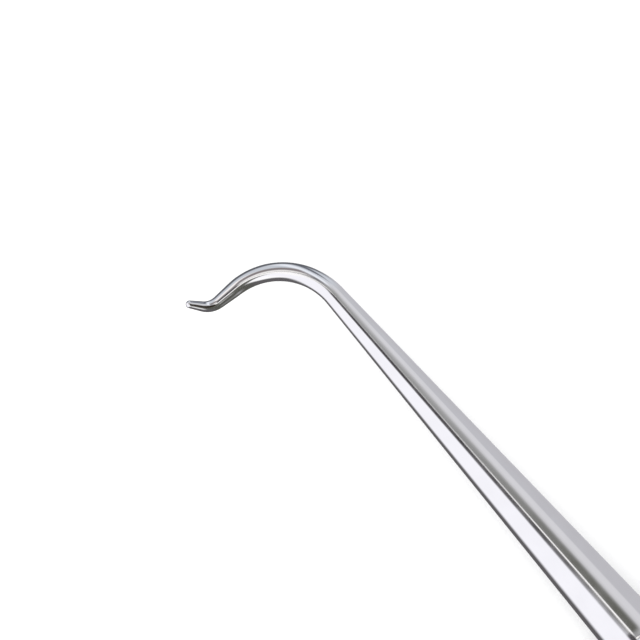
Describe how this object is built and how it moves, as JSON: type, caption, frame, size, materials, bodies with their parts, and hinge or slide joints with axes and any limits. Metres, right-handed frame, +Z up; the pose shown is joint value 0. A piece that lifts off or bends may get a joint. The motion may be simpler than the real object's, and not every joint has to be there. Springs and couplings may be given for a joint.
{
  "type": "dental explorer",
  "caption": "Double-ended dental explorer with a hollow eight-sided handle, silicone finger rings and two hooked working ends that screw out of the handle.",
  "frame": {"origin": "middle of the handle, on the lowest flat of its eight-sided middle, where the instrument rests on a tray", "axes": "+X along the handle towards working end A; +Z up out of the resting flat; hook A turns to +Y and its foot lifts to +Z, hook B turns to -Y and its foot dips to -Z"},
  "size_m": [0.1758, 0.0158, 0.01],
  "materials": {
    "polished_steel": "mirror-polished stainless steel",
    "satin_steel": "satin-brushed stainless steel",
    "finger_silicone": "matt moulded silicone",
    "code_silicone": "matt moulded silicone",
    "seal_rubber": "smooth black rubber"
  },
  "bodies": {
    "handle": {"handle_tube": "satin_steel", "nose_socket_a": "satin_steel", "code_ring_a": "code_silicone", "finger_ring_a1": "finger_silicone", "finger_ring_a2": "finger_silicone", "finger_ring_a3": "finger_silicone", "finger_ring_a4": "finger_silicone", "finger_ring_a5": "finger_silicone", "finger_ring_a6": "finger_silicone", "nose_socket_b": "satin_steel", "code_ring_b": "code_silicone", "finger_ring_b1": "finger_silicone", "finger_ring_b2": "finger_silicone", "finger_ring_b3": "finger_silicone", "finger_ring_b4": "finger_silicone", "finger_ring_b5": "finger_silicone", "finger_ring_b6": "finger_silicone"},
    "seal_a": {"tip_seal_a": "seal_rubber"},
    "tip_a": {"tip_a": "polished_steel"},
    "seal_b": {"tip_seal_b": "seal_rubber"},
    "tip_b": {"tip_b": "polished_steel"}
  },
  "joints": [
    {"name": "tip_a_advance", "type": "slide", "parent": "handle", "child": "seal_a", "axis": [1, 0, 0], "range_m": [0, 0.00875]},
    {"name": "tip_a_unscrew", "type": "hinge", "parent": "seal_a", "child": "tip_a", "pos_m": [0.049, 0, 0.005], "axis": [1, 0, 0], "range_deg": [0, 6300]},
    {"name": "tip_b_advance", "type": "slide", "parent": "handle", "child": "seal_b", "axis": [-1, 0, 0], "range_m": [0, 0.00875]},
    {"name": "tip_b_unscrew", "type": "hinge", "parent": "seal_b", "child": "tip_b", "pos_m": [-0.049, 0, 0.005], "axis": [-1, 0, 0], "range_deg": [0, 6300]}
  ],
  "couplings": [
    {"joint": "tip_a_unscrew", "follows": "tip_a_advance", "rad_per_m": 12566},
    {"joint": "tip_b_unscrew", "follows": "tip_b_advance", "rad_per_m": 12566}
  ]
}
